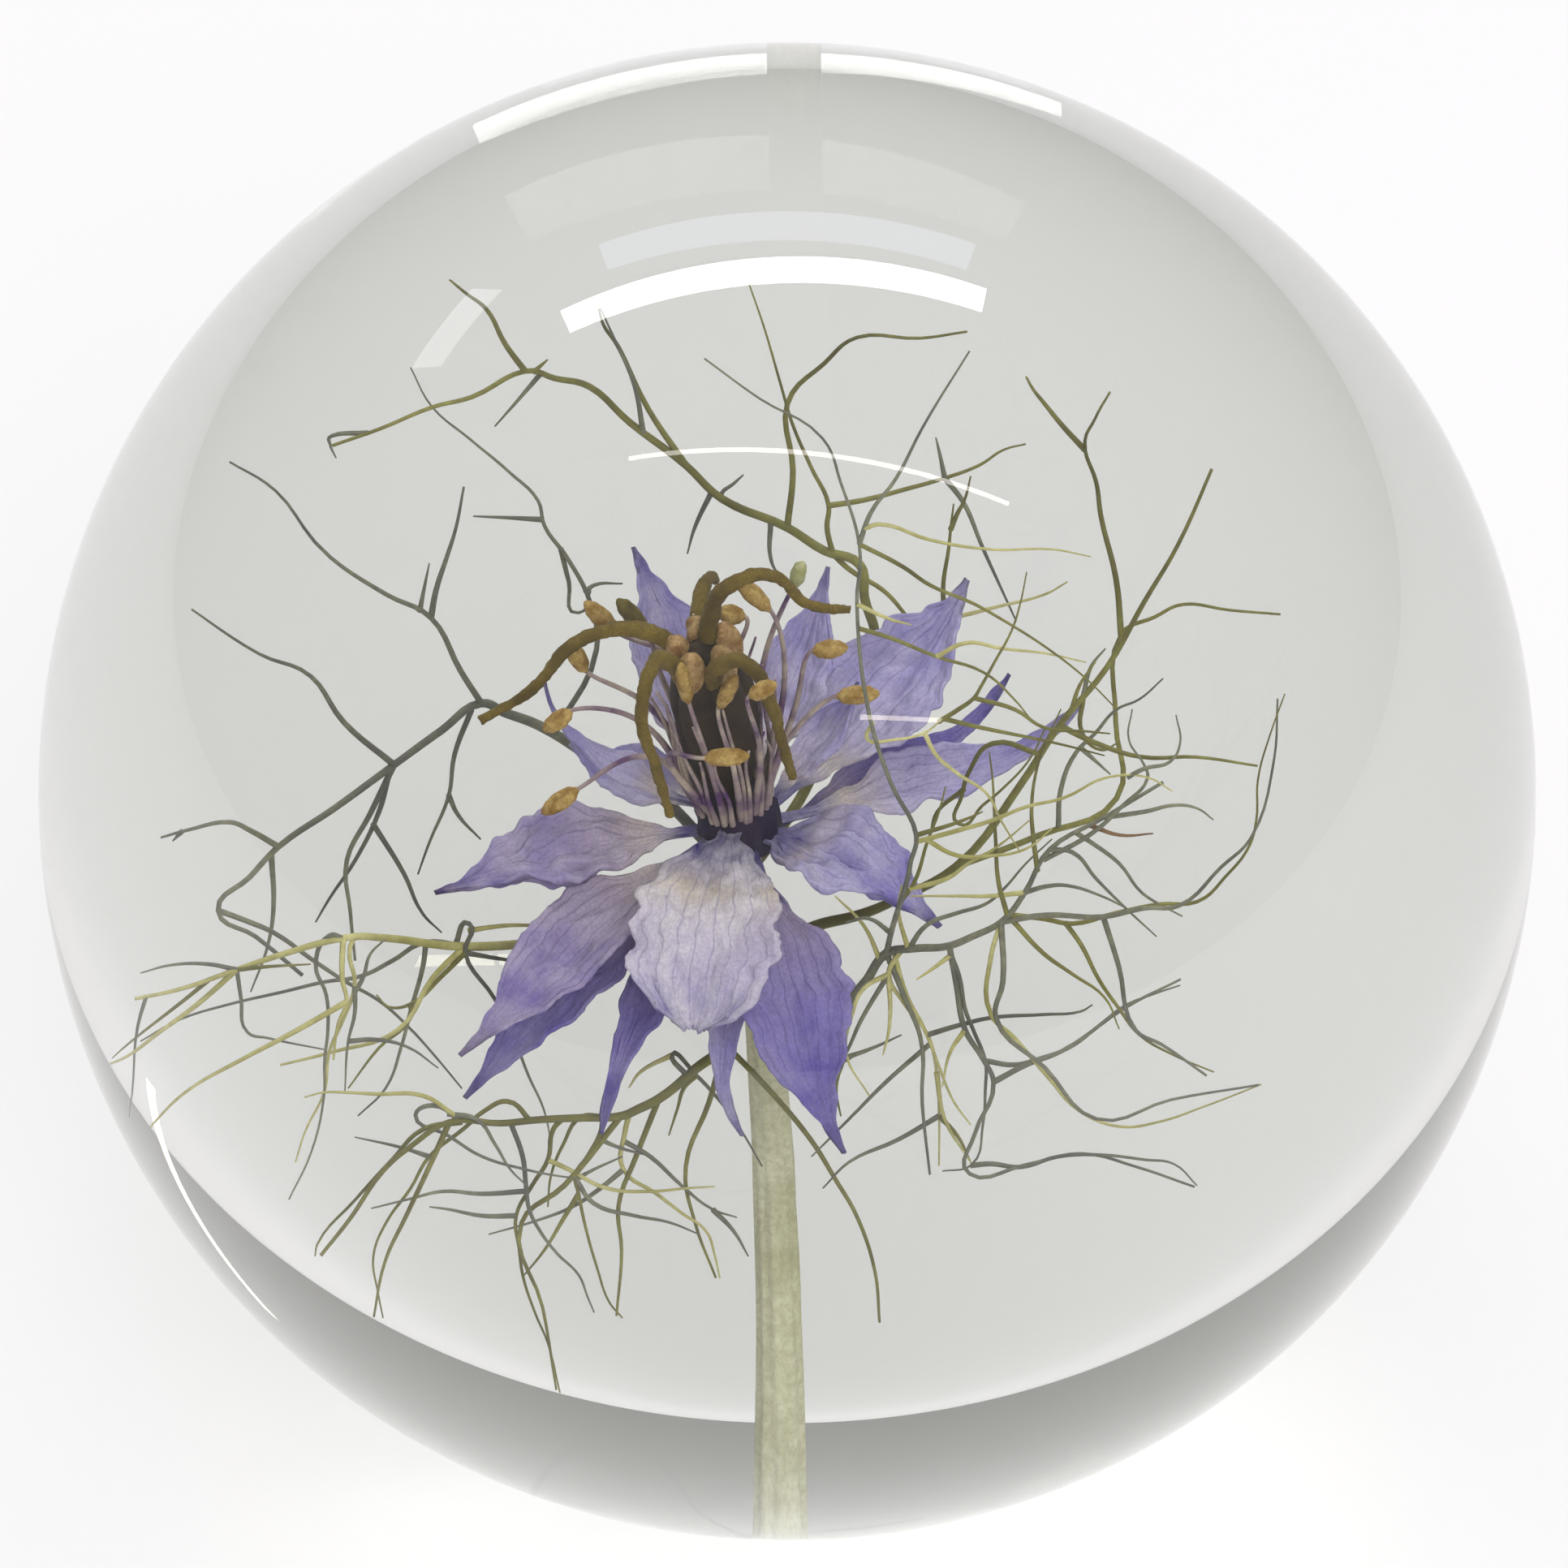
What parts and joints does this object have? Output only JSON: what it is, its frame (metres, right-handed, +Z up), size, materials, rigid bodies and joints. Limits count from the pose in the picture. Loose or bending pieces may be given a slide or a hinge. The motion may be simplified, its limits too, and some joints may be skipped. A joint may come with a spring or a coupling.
{
  "type": "flower paperweight",
  "caption": "Clear resin ball with a ground flat base, cast round a dried love-in-a-mist flower standing on its stem.",
  "frame": {"origin": "middle of the flat base, on the surface that it stands on", "axes": "+Z up through the ball's centre; -Y towards the flower's front; +X to its right"},
  "size_m": [0.08, 0.08, 0.075],
  "materials": {
    "resin": "clear cast resin, polished all over, with a faint grey-green cast",
    "stem": "dried ribbed stalk, pale olive and straw",
    "receptacle": "dried, dark violet-brown",
    "seed_capsule": "dried, dark brown, five-lobed",
    "style": "dried, olive-gold and grainy",
    "sepal": "thin dried petal, lilac to deep violet with darker veins",
    "stamen": "tan anther on a violet-grey filament",
    "bract": "dried thread-like leaf, olive to grey-green"
  },
  "bodies": {
    "root": {"bract_back": "bract", "bract_front": "bract", "bract_front_left": "bract", "bract_left": "bract", "bract_right": "bract", "bract_right_front": "bract", "ovary": "seed_capsule", "receptacle": "receptacle", "resin_dome": "resin", "sepal_back": "sepal", "sepal_back_broad": "sepal", "sepal_back_left": "sepal", "sepal_back_slim": "sepal", "sepal_front": "sepal", "sepal_front_narrow": "sepal", "sepal_left": "sepal", "sepal_left_curled": "sepal", "sepal_left_long": "sepal", "sepal_left_low": "sepal", "sepal_left_narrow": "sepal", "sepal_right_front": "sepal", "sepal_right_long": "sepal", "sepal_right_low": "sepal", "sepal_right_upright": "sepal", "sepal_tall_left": "sepal", "sepal_tall_right": "sepal", "stamen_01": "stamen", "stamen_02": "stamen", "stamen_03": "stamen", "stamen_04": "stamen", "stamen_05": "stamen", "stamen_06": "stamen", "stamen_07": "stamen", "stamen_08": "stamen", "stamen_09": "stamen", "stamen_10": "stamen", "stamen_11": "stamen", "stamen_12": "stamen", "stamen_13": "stamen", "stamen_14": "stamen", "stem": "stem", "style_back": "style", "style_front_left": "style", "style_front_right": "style", "style_left": "style", "style_top": "style"}
  },
  "joints": []
}
